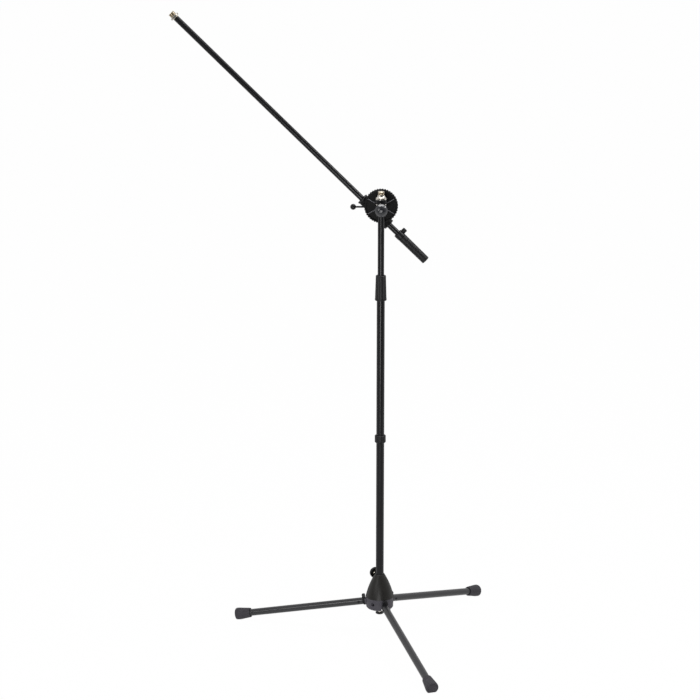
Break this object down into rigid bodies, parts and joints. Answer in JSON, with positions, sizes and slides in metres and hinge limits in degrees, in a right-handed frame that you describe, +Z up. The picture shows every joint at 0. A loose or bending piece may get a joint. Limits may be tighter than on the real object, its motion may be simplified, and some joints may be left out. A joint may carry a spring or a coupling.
{
  "type": "boom microphone stand",
  "caption": "Boom microphone stand in black: folding tripod with rubber feet, sliding two-stage mast, ribbed tilt clutch and a counterweighted boom with a threaded tip",
  "frame": {"origin": "on the floor, on the mast's axis", "axes": "+Z up the mast; +X to the right and +Y to the back, seen from the side of the clutch knob; the boom climbs to -X in a plane behind the mast"},
  "size_m": [0.7927, 0.6725, 1.5935],
  "materials": {
    "hub_casting": "satin dark grey paint on a die casting",
    "cone_plastic": "fine-grained black moulding",
    "black_tube": "satin black powder coat on steel tube",
    "black_fitting": "satin black paint",
    "disc_casting": "matte black paint on a die casting",
    "knob_plastic": "satin black moulding",
    "sleeve_plastic": "smooth black moulding",
    "grip_rubber": "dark grey rubber",
    "foot_rubber": "dull dark grey rubber",
    "nickel": "bright nickel plate",
    "zinc_brass": "pale brass-coloured thread",
    "screw_steel": "zinc-plated steel",
    "weight_steel": "turned steel",
    "pad_fibre": "pressed friction fibre"
  },
  "bodies": {
    "hub": {"hub_base": "hub_casting", "hub_cone": "cone_plastic", "leg_pin_1": "screw_steel", "leg_pin_2": "screw_steel", "leg_pin_3": "screw_steel"},
    "leg_1": {"leg_knuckle_1": "hub_casting", "leg_stop_plate_1": "black_fitting", "leg_tube_1": "black_tube", "leg_rivet_1": "screw_steel", "leg_foot_1": "foot_rubber"},
    "leg_2": {"leg_knuckle_2": "hub_casting", "leg_stop_plate_2": "black_fitting", "leg_tube_2": "black_tube", "leg_rivet_2": "screw_steel", "leg_foot_2": "foot_rubber"},
    "leg_3": {"leg_knuckle_3": "hub_casting", "leg_stop_plate_3": "black_fitting", "leg_tube_3": "black_tube", "leg_rivet_3": "screw_steel", "leg_foot_3": "foot_rubber"},
    "hub_knob": {"hub_knob": "knob_plastic", "hub_knob_bolt": "screw_steel"},
    "lower_mast": {"lower_tube_bottom": "black_tube", "lower_tube_top": "black_tube", "joint_collar": "black_fitting", "mast_end_plug": "nickel", "stop_disc": "black_fitting", "clutch_sleeve": "sleeve_plastic"},
    "height_grip": {"clutch_grip": "grip_rubber"},
    "collet": {"clutch_collet": "sleeve_plastic"},
    "upper_mast": {"upper_tube": "black_tube", "mast_head": "black_fitting", "top_stud": "zinc_brass", "head_collar": "black_fitting", "head_washer": "nickel", "front_disc": "disc_casting", "friction_pad": "pad_fibre", "knob_washer": "screw_steel"},
    "top_lock_ring": {"top_lock_ring": "nickel"},
    "boom_clamp": {"boom_clamp": "disc_casting", "clutch_bolt": "screw_steel"},
    "clutch_knob": {"clutch_knob": "knob_plastic"},
    "clamp_lever": {"clamp_lever": "black_fitting", "lever_ball": "knob_plastic", "clamp_screw": "screw_steel"},
    "boom_bushes": {"boom_bush_upper": "sleeve_plastic", "boom_bush_lower": "sleeve_plastic"},
    "boom": {"boom_tube": "black_tube", "tip_stud": "zinc_brass", "rear_collar": "black_fitting", "counterweight": "weight_steel", "handle_grip": "grip_rubber"},
    "tip_lock_ring": {"tip_lock_ring": "nickel"},
    "thumb_screw": {"thumb_screw": "black_fitting"}
  },
  "joints": [
    {"name": "mast_slide", "type": "slide", "parent": "hub", "child": "lower_mast", "axis": [0, 0, 1], "range_m": [-0.345, 0.014]},
    {"name": "hub_knob_turn", "type": "hinge", "parent": "hub", "child": "hub_knob", "pos_m": [0, 0, 0.1576], "axis": [-0.342, 0.9397, 0], "continuous": true},
    {"name": "leg_fold_1", "type": "hinge", "parent": "hub", "child": "leg_1", "pos_m": [-0.0211, 0.00621, 0.0921], "axis": [-0.2823, -0.9593, 0], "range_deg": [0, 74]},
    {"name": "leg_fold_2", "type": "hinge", "parent": "hub", "child": "leg_2", "pos_m": [0.015, 0.01609, 0.0921], "axis": [-0.7314, 0.682, 0], "range_deg": [0, 74]},
    {"name": "leg_fold_3", "type": "hinge", "parent": "hub", "child": "leg_3", "pos_m": [0.00705, -0.02084, 0.0921], "axis": [0.9472, 0.3206, 0], "range_deg": [0, 74]},
    {"name": "height_grip_turn", "type": "hinge", "parent": "lower_mast", "child": "height_grip", "pos_m": [0, 0, 0.918], "axis": [0, 0, 1], "continuous": true},
    {"name": "swivel", "type": "hinge", "parent": "lower_mast", "child": "collet", "pos_m": [0, 0, 0.918], "axis": [0, 0, 1], "continuous": true},
    {"name": "height_slide", "type": "slide", "parent": "collet", "child": "upper_mast", "axis": [0, 0, 1], "range_m": [-0.14, 0.22]},
    {"name": "top_ring_turn", "type": "hinge", "parent": "upper_mast", "child": "top_lock_ring", "pos_m": [0, 0, 1.1463], "axis": [0, 0, 1], "continuous": true},
    {"name": "boom_tilt", "type": "hinge", "parent": "upper_mast", "child": "boom_clamp", "pos_m": [0, 0.028, 1.1196], "axis": [0, 1, 0], "continuous": true},
    {"name": "clutch_knob_turn", "type": "hinge", "parent": "boom_clamp", "child": "clutch_knob", "pos_m": [0, -0.035, 1.1196], "axis": [0, 1, 0], "continuous": true},
    {"name": "clamp_lever_turn", "type": "hinge", "parent": "boom_clamp", "child": "clamp_lever", "pos_m": [-0.02147, 0.065, 1.10914], "axis": [0, 1, 0], "range_deg": [-90, 90]},
    {"name": "boom_roll", "type": "hinge", "parent": "boom_clamp", "child": "boom_bushes", "pos_m": [-0.01576, 0.043, 1.10354], "axis": [-0.7139, 0, 0.7003], "continuous": true},
    {"name": "boom_reach", "type": "slide", "parent": "boom_bushes", "child": "boom", "axis": [-0.7139, 0, 0.7003], "range_m": [-0.62, 0.025]},
    {"name": "tip_ring_turn", "type": "hinge", "parent": "boom", "child": "tip_lock_ring", "pos_m": [-0.5009, 0.043, 1.57945], "axis": [-0.7139, 0, 0.7003], "continuous": true},
    {"name": "thumb_screw_turn", "type": "hinge", "parent": "boom", "child": "thumb_screw", "pos_m": [0.05773, 0.043, 1.05386], "axis": [0.7003, 0, 0.7139], "continuous": true}
  ]
}
